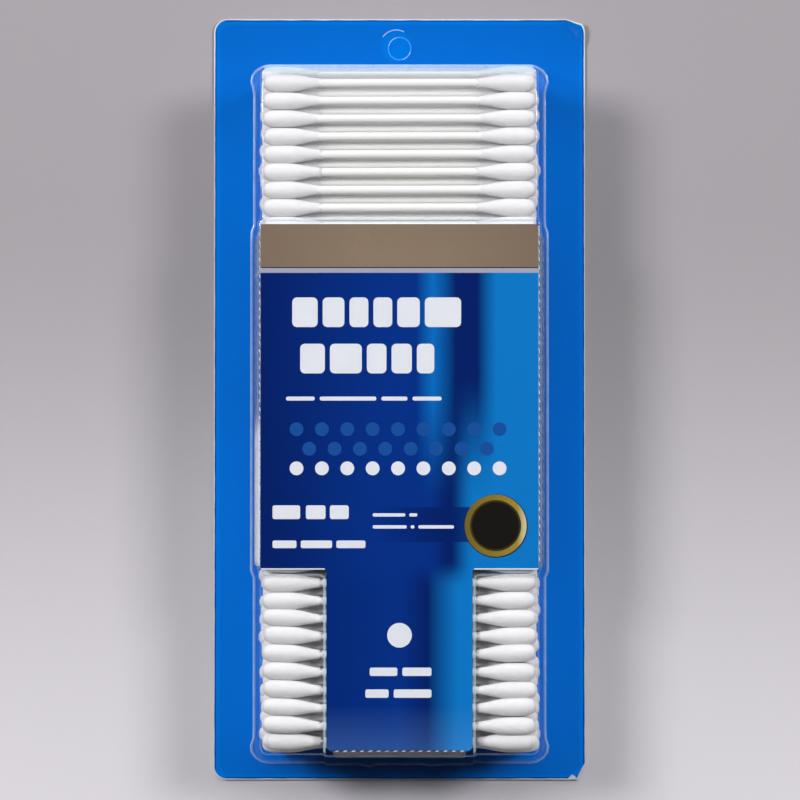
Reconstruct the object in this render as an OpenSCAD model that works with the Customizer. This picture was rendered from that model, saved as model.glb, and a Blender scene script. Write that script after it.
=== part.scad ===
// Carded blister pack of double-tipped cotton swabs.
// It lies on its card: X runs along the swabs, Y towards the hang hole, Z out of the card.

/* [Swabs] */
// Length of a swab over both cotton tips
swab_length = 75.4; // [60:0.2:90]
// Outside diameter of the plastic stick
stick_dia = 2.4; // [1.8:0.1:3.2]
// Wall of the hollow stick
stick_wall = 0.45; // [0.3:0.05:0.7]
// Largest diameter of a cotton tip
tip_dia = 4.7; // [4:0.1:6]
// Length of a cotton tip along the stick
tip_length = 16.5; // [12:0.5:22]
// Cotton beyond the end of the stick
tip_cap = 1.6; // [1:0.1:3]
// Length of the domed nose of a cotton tip
nose_length = 3.4; // [2.4:0.1:4.5]
// Length of the straight belly behind the nose
belly_length = 3.6; // [2:0.1:5]
// Diameter of the blunt end of the nose
nose_flat = 1.4; // [0.8:0.1:2.4]

/* [Stack] */
// Swabs in the front layer, and in every second layer behind it
rows = 38; // [20:1:44]
// Room between neighbouring swabs of a layer
row_gap = 0.24; // [0.14:0.02:0.6]
// Room between the tips of neighbouring layers
layer_gap = 0.13; // [0.08:0.01:0.4]
// How far a swab may lie off the middle, to either side
end_play = 0.3; // [0:0.05:0.6]
// Largest lean of a swab in the plane of its layer, in degrees
lean = 0.15; // [0:0.05:0.2]
// How far the last swab of the front layer has sunk, as a share of the free room under it
sunk_share = 0.7; // [0:0.05:1]
// Room between the stack and what is under, over or beside it
stack_clear = 0.12; // [0.05:0.01:0.4]
// Room beyond the last tip at each end of the stack
end_clear = 0.25; // [0.15:0.05:1]

/* [Blister] */
// Thickness of the clear film
film = 0.35; // [0.2:0.05:0.45]
// Slope of the side walls, in degrees
side_draft = 4; // [2:0.5:7]
// Slope of the end walls, in degrees
end_draft = 4.5; // [2:0.5:7]
// Corner radius of the walls at the flange
foot_corner = 4.5; // [3:0.5:8]
// Corner radius of the walls at the front, which the label's corners follow
front_corner = 2; // [1.5:0.1:3]
// Rounding of the front edges
edge_round = 0.9; // [0.8:0.1:1.4]
// Flare of the wall where it turns into the flange
foot_roll = 0.7; // [0.4:0.1:1.2]
// Room between the label and the front of its raised pocket
pocket_clear = 0.15; // [0.05:0.05:0.3]
// Room beside the folds of the label
fold_clear = 0.06; // [0.04:0.01:0.2]
// Room beyond each end of the wide part of the label
pocket_end = 1.2; // [0.8:0.1:2.5]
// How far the side walls of the tongue channel slope outwards on their way down
channel_flare = 0.55; // [0.3:0.05:1.2]
// How far the tongue channel stands out from the lower end of the tub
channel_step = 0.5; // [0.2:0.05:1]

/* [Label] */
// Thickness of the printed board
board = 0.5; // [0.3:0.05:0.8]
// Length of the wide part of the label
wide_length = 95.4; // [60:0.2:110]
// Length of the tongue below it
tongue_length = 50; // [30:0.5:60]
// Width of the tongue
tongue_width = 40.3; // [24:0.1:42]
// Depth of the side flaps behind the folds
side_flap = 31.5; // [12:0.5:33]
// Depth of the flap at the end of the tongue
end_flap = 31.5; // [8:0.5:33]
// Distance between neighbouring perforations along a fold
perforation_pitch = 2.3; // [1.8:0.1:4]
// Length of one perforation
perforation_length = 1.1; // [0.6:0.1:1.4]
// Width of one perforation
perforation_width = 0.25; // [0.15:0.05:0.4]

/* [Card] */
// Thickness of the backing card
card_thick = 0.6; // [0.4:0.05:1]
// Card beside the blister, on each side
side_margin = 10.6; // [8:0.1:18]
// Card between the blister and the hanging end
top_margin = 12.7; // [12.6:0.1:24]
// Card between the blister and the lower end
bottom_margin = 4.3; // [4.2:0.1:12]
// Corner radius of the card
card_corner = 3.8; // [2:0.1:6]
// Card left bare around the flange
flange_inset = 1.7; // [1:0.1:3]
// Corner radius of the flange
flange_corner = 3; // [2:0.1:5]
// Diameter of the die-cut hang hole
hang_dia = 6.35; // [5:0.05:8]
// Distance from the hang hole's middle to the card's edge
hang_inset = 8.3; // [7.4:0.1:8.6]
// Width of the die cut around the hang hole
kerf = 0.16; // [0.1:0.02:0.3]
// Width of each nick that still holds the disc in the hang hole
nick = 0.5; // [0.3:0.1:1]
// Diameter of the larger hole in the flange over the hang hole
film_hole_dia = 8.8; // [8.2:0.1:9.4]
// How far that hole lies off the hang hole, across and along
film_hole_shift = [-0.9, 0.7];
// How much the bent corner takes off the card, along its two edges
bent_corner = [5.4, 1.7];
// How much the battered corner takes off the card, along its two edges
battered_corner = [2.3, 4.6];

/* [Hidden] */
layers = 8;           // layer 1 is the front one
stick_sides = 24;     // segments of round pieces
outline_sides = 32;   // segments of a rounded outline
edge_steps = 4;       // slices in a rounded front edge
slice_thick = 0.05;   // thickness of one slice of a pan
over = 1;             // how far a cut runs past what it cuts
play_seed = 11;       // seeds the way the swabs lie

// The stack
row_pitch = tip_dia + row_gap;
layer_pitch = sqrt(pow(tip_dia + layer_gap, 2) - pow(row_pitch / 2, 2));
stack_height = (layers - 1) * layer_pitch + tip_dia;
stack_top = card_thick + stack_clear + stack_height;
stack_length = (rows - 0.5) * row_pitch + tip_dia;  // with the extra swab of layer 2

// The label lies over the stack, and the blister's pocket over the label
label_z = stack_top + stack_clear;
label_top = label_z + board;
swab_half = swab_length / 2 + end_play;
label_half = swab_half + stack_clear + board;
board_corner = front_corner - film;

// A sharp fold has to stand this far in from the wall, to clear the rounding inside the front edge
inner_round = edge_round - film;
fold_room = fold_clear + inner_round - sqrt(pow(inner_round, 2) - pow(inner_round - pocket_clear, 2));

// Heights and half widths of the film's outer face
tub_top = stack_top + stack_clear + film;
pocket_top = label_top + pocket_clear + film;
tub_half = swab_half + stack_clear + film;
pocket_half = label_half + fold_room + film;
channel_half = tongue_width / 2 + fold_room + film;
flange_z = card_thick + film;

// Length of the film's outer face at the front and at the flange, without the channel's step
front_length = stack_length + 2 * end_clear + 2 * film;
foot_length = front_length + 2 * (tub_top - flange_z) * tan(end_draft);

// The card, whose middle is the origin
card_half = pocket_half + (pocket_top - flange_z) * tan(side_draft) + side_margin;
card_length = foot_length + channel_step + top_margin + bottom_margin;
foot_low = -card_length / 2 + bottom_margin + channel_step;
foot_high = card_length / 2 - top_margin;
front_low = foot_low + (foot_length - front_length) / 2;
front_high = front_low + front_length;
channel_foot = front_low - channel_step - (pocket_top - flange_z) * tan(end_draft);
last_row_y = front_low + film + end_clear + tip_dia / 2;
first_row_y = last_row_y + (rows - 1) * row_pitch;

// The label runs up from the fold at the last stick
label_low = last_row_y - stick_dia / 2 - 2 * stack_clear - board;
wide_low = label_low + tongue_length;
label_high = wide_low + wide_length;
hang_y = card_length / 2 - hang_inset;

// Where swab i of layer k lies: the layers are staggered by half a row,
// layer 2 begins with the extra swab that shows above the front layer.
// That leaves room at the other end, into which the last swab of the front layer has sunk
sunk = sunk_share * (2 * layer_pitch - tip_dia - layer_gap);
slip = row_pitch - sqrt(pow(row_pitch, 2) - pow(sunk, 2));
function has_sunk(k, i) = k == 1 && i == rows - 1 ? 1 : 0;
function layer_z(k) = card_thick + stack_clear + tip_dia / 2 + (layers - k) * layer_pitch;
function layer_rows(k) = k % 2 == 1 ? rows : rows - 1;
function layer_shift(k) = k % 2 == 1 ? 0 : k == 2 ? 0.5 : -0.5;
function row_y(k, i) = first_row_y + (layer_shift(k) - i) * row_pitch + slip * has_sunk(k, i);
function row_z(k, i) = layer_z(k) - sunk * has_sunk(k, i);
function row_lean(k, i) = lean * sin(40 + 540 * (i - layer_shift(k)) / rows);
function row_play(k) = rands(-end_play, end_play, rows, play_seed + k);

// Outline of half a cotton tip, from its nose along the stick: a domed nose,
// a straight belly and a tail that eases down to the stick
nose_steps = 4;
tail_steps = 5;
tail_end = stick_dia / 2 + 0.12;
tip_outline = [
    [0, 0],
    for (i = [0 : nose_steps])
        [nose_flat / 2 + (tip_dia - nose_flat) / 2 * sin(90 * i / nose_steps),
         nose_length * (1 - cos(90 * i / nose_steps))],
    for (i = [0 : tail_steps])
        [tail_end + (tip_dia / 2 - tail_end) * (1 + cos(180 * i / tail_steps)) / 2,
         nose_length + belly_length + (tip_length - nose_length - belly_length) * i / tail_steps],
    [stick_dia / 2, tip_length],
    [stick_dia / 2, tip_cap],
    [0, tip_cap]
];

// Places its children at swab i of layer k, with Z along the swab
module at_swab(k, i) {
    translate([row_play(k)[i], row_y(k, i), row_z(k, i)])
        rotate([0, 0, row_lean(k, i)])
            rotate([0, 90, 0]) children();
}

module stick() {
    length = swab_length - 2 * tip_cap;
    difference() {
        cylinder(d = stick_dia, h = length, center = true, $fn = stick_sides);
        cylinder(d = stick_dia - 2 * stick_wall, h = length + over, center = true, $fn = stick_sides);
    }
}

module cotton_tip() {
    translate([0, 0, -swab_length / 2])
        rotate_extrude($fn = stick_sides) polygon(tip_outline);
}

module stick_layer(k) {
    color("whitesmoke")
        for (i = [0 : layer_rows(k) - 1]) at_swab(k, i) stick();
}

module tip_layer(k) {
    color("white")
        for (i = [0 : layer_rows(k) - 1])
            at_swab(k, i) {
                cotton_tip();
                mirror([0, 0, 1]) cotton_tip();
            }
}

// A flat rectangle with round corners, from its lower to its upper end
module rounded(half, low, high, corner) {
    translate([-half + corner, low]) square([2 * (half - corner), high - low]);
    translate([-half, low + corner]) square([2 * half, high - low - 2 * corner]);
    for (x = [-half + corner, half - corner], y = [low + corner, high - corner])
        translate([x, y]) circle(corner, $fn = outline_sides);
}

// One thin slice of a pan, with its upper face at height z
module slice(z, half, low, high, corner) {
    translate([0, 0, z - slice_thick])
        linear_extrude(slice_thick) rounded(half, low, high, corner);
}

// The slab at the foot of a pan: as thick as the flange, or right through it for an inner face
module foot(skin, half, low, high) {
    depth = skin > 0 ? film + over : film;
    translate([0, 0, flange_z - depth])
        linear_extrude(depth) rounded(half, low, high, foot_corner - skin);
}

// The slices of a rounded front edge, for the outer or the inner face of the film
module front_edge(skin, z, half, low, high, corner) {
    bend = edge_round - skin;
    for (i = [0 : edge_steps]) {
        turn = 90 * i / edge_steps;
        inset = bend * (1 - cos(turn));
        slice(z - bend * (1 - sin(turn)), half - inset, low + inset, high - inset, corner - inset);
    }
}

// The flare where the wall of a pan turns into the flange
module foot_flare(half, low, high) {
    hull() {
        slice(flange_z, half + foot_roll, low - foot_roll, high + foot_roll, foot_corner + foot_roll);
        slice(flange_z + foot_roll, half, low, high, foot_corner);
    }
}

// The tub that holds the stack. skin is 0 for its outer face and film for its inner one
module tub(skin) {
    rise = tub_top - flange_z;
    half = tub_half + rise * tan(side_draft) - skin;
    hull() {
        foot(skin, half, foot_low + skin, foot_high - skin);
        front_edge(skin, tub_top - skin, tub_half - skin, front_low + skin, front_high - skin,
                   front_corner - skin);
    }
}

// The wider and taller pocket for the wide part of the label and its side flaps
module label_pocket(skin) {
    rise = pocket_top - flange_z;
    half = pocket_half + rise * tan(side_draft) - skin;
    low = wide_low - pocket_end - film + skin;
    high = label_high + pocket_end + film - skin;
    hull() {
        foot(skin, half, low, high);
        front_edge(skin, pocket_top - skin, pocket_half - skin, low, high, front_corner - skin);
    }
}

// The channel for the tongue, which runs over the front and down the lower end
module tongue_channel(skin) {
    half = channel_half - skin;
    low = front_low - channel_step + skin;
    high = wide_low + pocket_end;
    hull() {
        foot(skin, half + channel_flare, channel_foot + skin, high);
        front_edge(skin, pocket_top - skin, half, low, high, front_corner - skin);
    }
}

module blister() {
    tub_foot = tub_half + (tub_top - flange_z) * tan(side_draft);
    pocket_foot = pocket_half + (pocket_top - flange_z) * tan(side_draft);
    color("aliceblue", 0.35)
        difference() {
            union() {
                translate([0, 0, card_thick])
                    linear_extrude(film)
                        rounded(card_half - flange_inset, -card_length / 2 + flange_inset,
                                card_length / 2 - flange_inset, flange_corner);
                tub(0);
                label_pocket(0);
                tongue_channel(0);
                foot_flare(tub_foot, foot_low, foot_high);
                foot_flare(pocket_foot, wide_low - pocket_end - film, label_high + pocket_end + film);
                foot_flare(channel_half + channel_flare, channel_foot, wide_low);
            }
            tub(film);
            label_pocket(film);
            tongue_channel(film);
            translate([film_hole_shift.x, hang_y + film_hole_shift.y, card_thick - over])
                cylinder(d = film_hole_dia, h = film + 2 * over, $fn = 2 * outline_sides);
        }
}

// The cut-out shape of the label's front: a wide part with a tongue below it
module label_outline() {
    rounded(label_half, wide_low, label_high, board_corner);
    rounded(tongue_width / 2, label_low, wide_low + 2 * board_corner, board_corner);
}

// A row of perforations along X, centred
module perforations(length) {
    count = floor(length / perforation_pitch);
    for (i = [0 : count - 1])
        translate([(i - (count - 1) / 2) * perforation_pitch, 0, -board])
            rotate([0, 0, 12])
                cube([perforation_length, perforation_width, 3 * board], center = true);
}

module label_insert() {
    // The folds end a little short of the round corners
    fold = wide_length - 2 * (board_corner + fold_clear);
    end_fold = tongue_width - 2 * (board_corner + fold_clear);
    fold_inset = board / 2 + perforation_width / 2;
    // The side flaps taper, to clear the corners of the pocket, which grow rounder towards the flange
    taper = max(0, foot_corner - film - pocket_end - board_corner);
    color([0.02, 0.2, 0.45])
        difference() {
            union() {
                translate([0, 0, label_z]) linear_extrude(board) label_outline();
                for (side = [0, 1])
                    mirror([side, 0, 0])
                        translate([label_half, wide_low + board_corner + fold_clear, label_top])
                            rotate([0, -side_draft, 0])
                                translate([-board, 0, 0]) rotate([90, 0, 90]) linear_extrude(board)
                                    polygon([[0, 0], [fold, 0], [fold - taper, -side_flap], [taper, -side_flap]]);
                translate([-end_fold / 2, label_low, label_top])
                    rotate([-end_draft, 0, 0])
                        translate([0, 0, -end_flap]) cube([end_fold, board, end_flap]);
            }
            for (side = [-1, 1])
                translate([side * (label_half - fold_inset), wide_low + wide_length / 2, label_top])
                    rotate([0, 0, 90]) perforations(fold);
            translate([0, label_low + fold_inset, label_top]) perforations(end_fold);
        }
}

// The cut around the hang hole, with the nicks that hold the disc
module hang_cut() {
    difference() {
        circle(d = hang_dia + kerf, $fn = 2 * outline_sides);
        circle(d = hang_dia - kerf, $fn = 2 * outline_sides);
        for (turn = [30, 150, 270])
            rotate(turn) translate([0, -nick / 2]) square([hang_dia, nick]);
    }
}

// The straight cut that a damaged corner leaves, past the two given distances along the edges
module corner_cut(cut, end) {
    translate([card_half, end * card_length / 2])
        polygon([[over, end * over], [-cut.x, end * over], [-cut.x, 0], [0, -end * cut.y], [over, -end * cut.y]]);
}

module backing_card() {
    color([0, 0.39, 0.8])
        linear_extrude(card_thick)
            difference() {
                rounded(card_half, -card_length / 2, card_length / 2, card_corner);
                translate([0, hang_y]) hang_cut();
                corner_cut(bent_corner, 1);
                corner_cut(battered_corner, -1);
            }
}

backing_card();
blister();
label_insert();
stick_layer(1);  // swab_sticks_1
stick_layer(2);  // swab_sticks_2
stick_layer(3);  // swab_sticks_3
stick_layer(4);  // swab_sticks_4
stick_layer(5);  // swab_sticks_5
stick_layer(6);  // swab_sticks_6
stick_layer(7);  // swab_sticks_7
stick_layer(8);  // swab_sticks_8
tip_layer(1);  // cotton_tips_1
tip_layer(2);  // cotton_tips_2
tip_layer(3);  // cotton_tips_3
tip_layer(4);  // cotton_tips_4
tip_layer(5);  // cotton_tips_5
tip_layer(6);  // cotton_tips_6
tip_layer(7);  // cotton_tips_7
tip_layer(8);  // cotton_tips_8
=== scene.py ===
import random
from math import atan2, ceil, copysign, cos, degrees, hypot, pi, radians, sin, sqrt, tan, tau

import bpy
import numpy as np
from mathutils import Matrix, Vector
from mathutils.geometry import delaunay_2d_cdt


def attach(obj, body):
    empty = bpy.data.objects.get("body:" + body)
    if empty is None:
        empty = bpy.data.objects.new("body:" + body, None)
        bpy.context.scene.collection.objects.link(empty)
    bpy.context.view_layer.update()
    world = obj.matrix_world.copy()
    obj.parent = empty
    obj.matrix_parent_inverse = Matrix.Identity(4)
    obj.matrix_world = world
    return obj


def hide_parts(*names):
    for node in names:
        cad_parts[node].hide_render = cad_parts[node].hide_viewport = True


# Carded blister pack of cotton swabs. It lies on its card, and the lengths below are in millimetres.
mm = 0.001
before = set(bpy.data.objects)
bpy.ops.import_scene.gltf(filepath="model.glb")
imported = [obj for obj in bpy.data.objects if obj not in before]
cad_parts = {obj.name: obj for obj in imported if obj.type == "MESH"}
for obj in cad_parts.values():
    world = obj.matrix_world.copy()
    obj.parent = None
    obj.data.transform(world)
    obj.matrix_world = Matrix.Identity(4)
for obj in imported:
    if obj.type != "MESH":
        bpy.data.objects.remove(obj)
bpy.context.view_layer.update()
print("frame loaded:", len(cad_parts), "nodes")


# Small helpers

def paint(red, green, blue):
    # screen colour from 0 to 255, turned into linear light
    def linear(v):
        v /= 255
        return v / 12.92 if v <= 0.04045 else ((v + 0.055) / 1.055) ** 2.4
    return (linear(red), linear(green), linear(blue), 1.0)


def smooth(low, high, v):
    t = min(1.0, max(0.0, (v - low) / (high - low)))
    return t * t * (3 - 2 * t)


def withNodes(block):
    block.use_nodes = True
    block.node_tree.nodes.clear()
    return block


def newMaterial(name):
    return withNodes(bpy.data.materials.new(name))


def add(block, kind, inputs=None, out=0, **settings):
    # adds a node and gives one of its outputs: inputs are values or sockets to link, settings its own options
    made = block.node_tree.nodes.new("ShaderNode" + kind)
    for key, value in settings.items():
        setattr(made, key, value)
    for key, value in (inputs or {}).items():
        if isinstance(value, bpy.types.NodeSocket):
            block.node_tree.links.new(value, made.inputs[key])
        else:
            made.inputs[key].default_value = value
    return made.outputs[out] if made.outputs else None


def calc(material, operation, a, b=0.0, c=0.0):
    return add(material, "Math", {0: a, 1: b, 2: c}, operation=operation)


def times(material, first, *others):
    for other in others:
        first = calc(material, "MULTIPLY", first, other)
    return first


def over(material, value, limit):
    # 1 past a limit in millimetres
    return calc(material, "GREATER_THAN", value, limit * mm)


def under(material, value, limit):
    return calc(material, "LESS_THAN", value, limit * mm)


def rise(material, value, low, high, most=1.0, shape="SMOOTHSTEP"):
    # from 0 at low to most at high, both in millimetres
    return add(material, "MapRange", {
        "Value": value, "From Min": low * mm, "From Max": high * mm, "To Max": most},
        interpolation_type=shape)


def between(material, factor, low, high):
    # a noise value spread over a small range
    return calc(material, "MULTIPLY_ADD", factor, high - low, low)


def darker(shade, share):
    return tuple(v * share for v in paint(*shade)[:3]) + (1.0,)


def mixColour(material, factor, first, second):
    return add(material, "Mix", {0: factor, 6: first, 7: second}, 2, data_type="RGBA")


def mottled(material, factor, shade, share):
    # a shade, and a darker one where the factor is low
    return mixColour(material, factor, darker(shade, share), paint(*shade))


def ramp(material, factor, stops):
    made = add(material, "ValToRGB", {0: factor})
    elements = made.node.color_ramp.elements
    while len(elements) < len(stops):
        elements.new(1.0)
    for element, (place, shade) in zip(elements, stops):
        element.position = place
        element.color = shade if isinstance(shade, tuple) else (shade, shade, shade, 1.0)
    return made


def split(block, space="Object"):
    # x, y and z of a place, on the pack in metres
    return add(block, "SeparateXYZ", {0: add(block, "TexCoord", out=space)}).node.outputs


def noise(material, scale, detail, rough=0.5, stretch=(1, 1, 1)):
    where = add(material, "Mapping", {"Vector": add(material, "TexCoord", out="Object"), "Scale": stretch})
    return add(material, "TexNoise", {"Vector": where, "Scale": scale, "Detail": detail, "Roughness": rough})


def bump(material, height, distance, strength, before=None):
    # the distance is in millimetres, and before is a bump that lies under this one
    below = {} if before is None else {"Normal": before}
    return add(material, "Bump", {"Height": height, "Distance": distance * mm, "Strength": strength, **below})


def finishMaterial(material, shader):
    add(material, "OutputMaterial", {"Surface": shader})
    return material


def finishSurface(material, colour, rough, specular, normal, more=None):
    # the usual shader; more holds its other inputs
    shader = add(material, "BsdfPrincipled", {
        "Base Color": colour, "Roughness": rough, "Specular IOR Level": specular, "Normal": normal,
        **(more or {})})
    return finishMaterial(material, shader)


def newObject(name, data):
    made = bpy.data.objects.new(name, data)
    bpy.context.scene.collection.objects.link(made)
    return made


def makePiece(name, points, faces, materials, faceMaterials=None, flat=False):
    # points in millimetres
    mesh = bpy.data.meshes.new(name)
    mesh.from_pydata([(x * mm, y * mm, z * mm) for x, y, z in points], [], faces)
    for material in materials:
        mesh.materials.append(material)
    if faceMaterials is not None:
        mesh.polygons.foreach_set("material_index", faceMaterials)
    mesh.polygons.foreach_set("use_smooth", [not flat] * len(mesh.polygons))
    mesh.validate()
    piece = newObject(name, mesh)
    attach(piece, "root")
    return piece


def thicken(piece, thick, smoothFaces):
    # gives a shell its thickness, inwards
    piece.data.polygons.foreach_set("use_smooth", smoothFaces)
    solid = piece.modifiers.new("thickness", "SOLIDIFY")
    solid.thickness = thick * mm
    solid.offset = -1
    return solid


def arc(cx, cy, radius, start, end, steps=6):
    turns = [radians(start + (end - start) * i / steps) for i in range(steps + 1)]
    return [(cx + radius * cos(t), cy + radius * sin(t)) for t in turns]


def roundedLoop(x0, y0, x1, y1, corner, steps=8):
    # a rectangle with round corners, anticlockwise from its lower left corner
    corners = ((x0 + corner, y0 + corner, 180), (x1 - corner, y0 + corner, 270),
               (x1 - corner, y1 - corner, 0), (x0 + corner, y1 - corner, 90))
    return [p for cx, cy, start in corners for p in arc(cx, cy, corner, start, start + 90, steps)]


def disc(x, y, radius, sides=40):
    return [(x + radius * cos(tau * i / sides), y + radius * sin(tau * i / sides))
            for i in range(sides)]


def insideLoop(loop, x, y):
    inside = False
    for (ax, ay), (bx, by) in zip(loop, loop[1:] + loop[:1]):
        if (ay > y) != (by > y) and x < (bx - ax) * (y - ay) / (by - ay) + ax:
            inside = not inside
    return inside


def faceMiddle(points, face):
    return tuple(sum(points[i][k] for i in face) / len(face) for k in (0, 1))


def known(x, y):
    # the name of a place, good to a thousandth
    return round(x, 3), round(y, 3)


def fillBetween(outer, holes=(), lines=(), extra=()):
    # triangles between an outline and its holes, with edges along the lines and corners at the extra points
    flat, edges = [], []
    for loop in [outer, *holes, *lines]:
        start = len(flat)
        flat += [Vector(p) for p in loop]
        edges += [(start + i, start + (i + 1) % len(loop)) for i in range(len(loop))]
    flat += [Vector(p) for p in extra]
    made = delaunay_2d_cdt(flat, edges, [], 1, 1e-6)
    points, triangles = [(p.x, p.y) for p in made[0]], []
    for face in made[2]:
        if not any(insideLoop(hole, *faceMiddle(points, face)) for hole in holes):
            (ax, ay), (bx, by), (dx, dy) = (points[i] for i in face)
            turned = (bx - ax) * (dy - ay) - (by - ay) * (dx - ax) < 0
            triangles.append(tuple(reversed(face)) if turned else tuple(face))
    return points, triangles


# Card

card = {
    "half": 52.225, "end": 107.0, "thick": 0.58, "corner": 3.8,
    "bent": (5.4, 1.7), "battered": (2.3, 4.6),   # what the damaged corners lose, along the two edges
    "lift": 1.0, "liftFrom": 5.5,   # how far the bent corner stands up, and how wide it is
    "foldZone": 16.0, "foldShare": 0.6,   # the fold lies within this of the corner, and rises steeply
    "chip": ((46.9, -107.0), (49.9, -107.0), (49.2, -106.0), (48.4, -105.6)),   # where the print is torn off
    # shade is the colour of a thin painted shade line along the card's edge
    "blue": (0, 125, 236), "shade": (0, 66, 150), "scuffs": (90, 150, 215),
    "core": (208, 216, 228), "back": (200, 198, 194),
    "rim": 0.36, "paintedShadeRim": 0.66,   # width of the bare rim and of the painted shade line inside it
    "gloss": 0.16, "paintedTopShade": 0.66, "paintedTopFade": (60.0, 105.0),   # painted shade: the print darkens towards the top along Y, against the lamps' brighter light there
    "spacing": 1.2, "grid": 0.9, "gridSize": (12, 10),   # points of the outline, and at the bent corner
    "wander": (0.6, 1.0),   # how the bare rim's width varies
}
hang = {
    "middle": (0.0, 98.7), "radius": 3.175, "lip": 0.16, "groove": 0.06, "rise": 0.03,
    "worn": (52, 142, 232), "paintedGlint": (140, 202, 250),
    "glintFrom": -0.45,   # painted glints on the die cut in two places, where it catches the light
}


def cardMaterial():
    material = newMaterial("glossyBlueCard")
    clouds = noise(material, 9.0, 2.0)
    grain = noise(material, 900.0, 4.0, 0.65)
    base = mottled(material, clouds, card["blue"], 0.84)
    scuff = noise(material, 420.0, 5.0, 0.7, (1, 0.25, 1))
    base = mixColour(material, ramp(material, scuff, ((0.0, 0.0), (0.70, 0.0), (0.80, 0.12), (1.0, 0.2))),
                     base, paint(*card["scuffs"]))
    # painted shade: the card is darker towards the top, against the lamps' brighter light there, and a thin
    # painted shade line runs along its edge
    x, y, _ = split(material)
    base = mixColour(material, rise(material, y, *card["paintedTopFade"]), base,
                     darker(card["blue"], card["paintedTopShade"]))
    # a thin painted shade line runs just inside the card's edge
    outX = calc(material, "SUBTRACT", calc(material, "ABSOLUTE", x), card["half"] * mm)
    outY = calc(material, "SUBTRACT", calc(material, "ABSOLUTE", y), card["end"] * mm)
    inPaintedShade = over(material, calc(material, "MAXIMUM", outX, outY), -card["paintedShadeRim"])
    base = mixColour(material, inPaintedShade, base, paint(*card["shade"]))
    return finishSurface(material, base, between(material, grain, card["gloss"], card["gloss"] + 0.08),
                         0.12, bump(material, grain, 0.02, 0.3))


def paperMaterial(name, shade):
    material = newMaterial(name)
    fibres = noise(material, 2600.0, 5.0, 0.7)
    base = mottled(material, fibres, shade, 0.88)
    return finishSurface(material, base, between(material, fibres, 0.75, 0.95), 0.2,
                         bump(material, fibres, 0.06, 0.6))


def clip(loop, a, b, c):
    # what is left of an outline where a x + b y < c
    kept = []
    for (px, py), (qx, qy) in zip(loop, loop[1:] + loop[:1]):
        p, q = a * px + b * py - c, a * qx + b * qy - c
        if p <= 0:
            kept.append((px, py))
        if (p < 0) != (q < 0):
            t = p / (p - q)
            kept.append((px + (qx - px) * t, py + (qy - py) * t))
    return kept


def cardOutline():
    # the damaged corners lose what lies past a straight cut
    half, end = card["half"], card["end"]
    loop = roundedLoop(-half, -end, half, end, card["corner"], 8)
    x, y = card["bent"]
    loop = clip(loop, 1 / x, 1 / y, half / x + end / y - 1)
    x, y = card["battered"]
    return clip(loop, 1 / x, -1 / y, half / x + end / y - 1)


def edgePoints(loop, spacing):
    # the same outline with points no further apart than the spacing
    fine = []
    for (ax, ay), (bx, by) in zip(loop, loop[1:] + loop[:1]):
        count = max(1, ceil(hypot(bx - ax, by - ay) / spacing))
        fine += [(ax + (bx - ax) * i / count, ay + (by - ay) * i / count) for i in range(count)]
    return fine


def cornerFold(x, y):
    # how far a point lies past the fold of the bent corner
    if x < card["half"] - card["foldZone"] or y < card["end"] - card["foldZone"]:
        return 0.0
    width = card["liftFrom"]
    return (x - (card["half"] - width)) + (y - (card["end"] - width * card["foldShare"]))


def cornerLift(x, y):
    return card["lift"] * smooth(0, card["liftFrom"], cornerFold(x, y))


def cornerGrid(half, end, inset, loop):
    # points inside the outline that let a flat face follow the fold
    right, top, step, play = half - inset, end - inset, card["grid"], card["grid"] / 3
    wide, high = card["gridSize"]
    grid = [(right - step * i, top - step * j) for i in range(wide) for j in range(high)]
    return [(x, y) for x, y in grid if insideLoop(loop, x + play, y + play)]


def bareRim(outline):
    # a wandering line inside the outline, where the print ends
    rng = random.Random(4)
    wander = [rng.uniform(*card["wander"]) for _ in outline]
    wander = [(wander[i - 2] + wander[i - 1] + wander[i]) / 3 for i in range(len(wander))]
    rim = []
    for i, (x, y) in enumerate(outline):
        (ax, ay), (bx, by) = outline[i - 1], outline[(i + 1) % len(outline)]
        tx, ty = bx - ax, by - ay
        size = hypot(tx, ty) or 1
        inset = card["rim"] * wander[i] * (1 + 0.5 * smooth(4.0, 6.0, cornerFold(x, y)))
        rim.append((x - ty / size * inset, y + tx / size * inset))
    return rim


def fromHangRing(x, y):
    return abs(hypot(x - hang["middle"][0], y - hang["middle"][1]) - hang["radius"])


def cardFront(x, y):
    # height of the front face, which has a pressed groove round the hang hole
    away = fromHangRing(x, y)
    pressed = -hang["groove"] if away < hang["lip"] * 0.5 else hang["rise"] if away < hang["lip"] * 1.5 else 0
    return card["thick"] + pressed + cornerLift(x, y)


def cardFace(x, y, rim):
    # which material the front has: 0 print, 1 bare edge, 3 worn print, 4 painted glint
    if not insideLoop(rim, x, y) or insideLoop(card["chip"], x, y):
        return 1
    away = fromHangRing(x, y)
    if away > hang["lip"]:
        return 0
    # the die cut's upper left and lower right get painted glints
    turn = atan2(y - hang["middle"][1], x - hang["middle"][0])
    return 4 if sin(2 * turn) < hang["glintFrom"] and away < hang["lip"] / 2 else 3


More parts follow.
